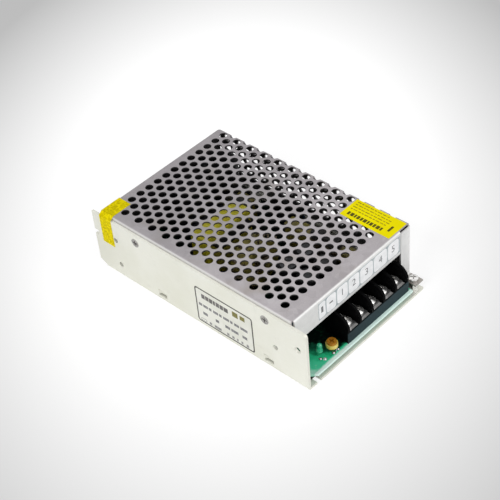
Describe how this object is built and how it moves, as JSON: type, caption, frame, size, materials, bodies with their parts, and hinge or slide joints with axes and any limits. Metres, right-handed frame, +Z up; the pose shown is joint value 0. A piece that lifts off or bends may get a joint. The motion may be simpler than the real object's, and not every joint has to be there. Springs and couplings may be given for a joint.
{
  "type": "power supply",
  "caption": "Enclosed switching power supply: a folded metal chassis under a perforated cover, with a screw terminal block, status lamp and trimmer at its open end",
  "frame": {"origin": "on the floor, under the middle of the case", "axes": "+X to the terminal end, +Y away from the labelled near wall, +Z up"},
  "size_m": [0.159, 0.0981, 0.0421],
  "materials": {
    "wall_aluminium": "satin",
    "cover_steel": "satin",
    "plated_steel": "polished",
    "tinned_brass": "polished",
    "green_board": "gloss",
    "black_plastic": "satin",
    "grey_insulation": "matte",
    "green_lens": "gloss",
    "trimmer_cream": "satin",
    "trimmer_orange": "satin",
    "thermal_pad": "matte",
    "capacitor_can": "satin",
    "ferrite": "matte",
    "iron_powder": "satin",
    "yellow_tape": "gloss",
    "copper_wire": "gloss",
    "yellow_film": "gloss",
    "blue_disc": "satin",
    "fuse_ceramic": "satin",
    "resistor_body": "satin",
    "paper_label": "matte",
    "yellow_label": "satin"
  },
  "bodies": {
    "supply": {"chassis": "wall_aluminium", "cover": "cover_steel", "cover_screws": "plated_steel", "foot_spacer": "plated_steel", "foot_screw": "plated_steel", "insulation_sheet": "grey_insulation", "circuit_board": "green_board", "board_standoffs": "plated_steel", "board_screws": "plated_steel", "terminal_housing": "black_plastic", "terminal_contacts": "tinned_brass", "status_lamp": "green_lens", "status_lamp_legs": "plated_steel", "trimmer_body": "trimmer_cream", "trimmer_legs": "plated_steel", "switching_transistors": "black_plastic", "rectifier_diode": "black_plastic", "insulating_pads": "thermal_pad", "device_clips": "plated_steel", "bulk_capacitors": "capacitor_can", "transformer_core": "ferrite", "transformer_bobbin": "black_plastic", "transformer_winding": "yellow_tape", "transformer_tape": "yellow_tape", "driver_transformer_core": "ferrite", "driver_transformer_winding": "yellow_tape", "bridge_rectifier": "black_plastic", "x_capacitors": "yellow_film", "fuse": "fuse_ceramic", "fuse_clips": "tinned_brass", "thermistor": "ferrite", "line_choke_core": "ferrite", "line_choke_windings": "copper_wire", "output_choke_core": "iron_powder", "output_choke_winding": "copper_wire", "output_capacitors": "capacitor_can", "control_chip": "black_plastic", "y_capacitors": "blue_disc", "small_capacitors": "capacitor_can", "small_resistors": "resistor_body", "power_resistor": "resistor_body", "snubber_capacitor": "yellow_film", "side_label": "paper_label", "top_sticker": "yellow_label", "corner_seal": "yellow_label", "terminal_marking": "paper_label"},
    "trimmer": {"trimmer_rotor": "trimmer_orange"},
    "clamp_1": {"clamp_plate_1": "plated_steel"},
    "screw_1": {"terminal_screw_1": "plated_steel"},
    "clamp_2": {"clamp_plate_2": "plated_steel"},
    "screw_2": {"terminal_screw_2": "plated_steel"},
    "clamp_3": {"clamp_plate_3": "plated_steel"},
    "screw_3": {"terminal_screw_3": "plated_steel"},
    "clamp_4": {"clamp_plate_4": "plated_steel"},
    "screw_4": {"terminal_screw_4": "plated_steel"},
    "clamp_5": {"clamp_plate_5": "plated_steel"},
    "screw_5": {"terminal_screw_5": "plated_steel"}
  },
  "joints": [
    {"name": "trimmer_turn", "type": "hinge", "parent": "supply", "child": "trimmer", "pos_m": [0.0731, -0.0229, 0.01], "axis": [0, 0, 1], "range_deg": [-130, 130]},
    {"name": "clamp_lift_1", "type": "slide", "parent": "supply", "child": "clamp_1", "axis": [0, 0, 1], "range_m": [0, 0.003]},
    {"name": "screw_turn_1", "type": "hinge", "parent": "clamp_1", "child": "screw_1", "pos_m": [0.071, -0.0086, 0.014], "axis": [0, 0, 1], "range_deg": [0, 1800]},
    {"name": "clamp_lift_2", "type": "slide", "parent": "supply", "child": "clamp_2", "axis": [0, 0, 1], "range_m": [0, 0.003]},
    {"name": "screw_turn_2", "type": "hinge", "parent": "clamp_2", "child": "screw_2", "pos_m": [0.071, 0.0014, 0.014], "axis": [0, 0, 1], "range_deg": [0, 1800]},
    {"name": "clamp_lift_3", "type": "slide", "parent": "supply", "child": "clamp_3", "axis": [0, 0, 1], "range_m": [0, 0.003]},
    {"name": "screw_turn_3", "type": "hinge", "parent": "clamp_3", "child": "screw_3", "pos_m": [0.071, 0.0114, 0.014], "axis": [0, 0, 1], "range_deg": [0, 1800]},
    {"name": "clamp_lift_4", "type": "slide", "parent": "supply", "child": "clamp_4", "axis": [0, 0, 1], "range_m": [0, 0.003]},
    {"name": "screw_turn_4", "type": "hinge", "parent": "clamp_4", "child": "screw_4", "pos_m": [0.071, 0.0214, 0.014], "axis": [0, 0, 1], "range_deg": [0, 1800]},
    {"name": "clamp_lift_5", "type": "slide", "parent": "supply", "child": "clamp_5", "axis": [0, 0, 1], "range_m": [0, 0.003]},
    {"name": "screw_turn_5", "type": "hinge", "parent": "clamp_5", "child": "screw_5", "pos_m": [0.071, 0.0314, 0.014], "axis": [0, 0, 1], "range_deg": [0, 1800]}
  ],
  "couplings": [
    {"joint": "screw_turn_1", "follows": "clamp_lift_1", "rad_per_m": 10472},
    {"joint": "screw_turn_2", "follows": "clamp_lift_2", "rad_per_m": 10472},
    {"joint": "screw_turn_3", "follows": "clamp_lift_3", "rad_per_m": 10472},
    {"joint": "screw_turn_4", "follows": "clamp_lift_4", "rad_per_m": 10472},
    {"joint": "screw_turn_5", "follows": "clamp_lift_5", "rad_per_m": 10472}
  ]
}
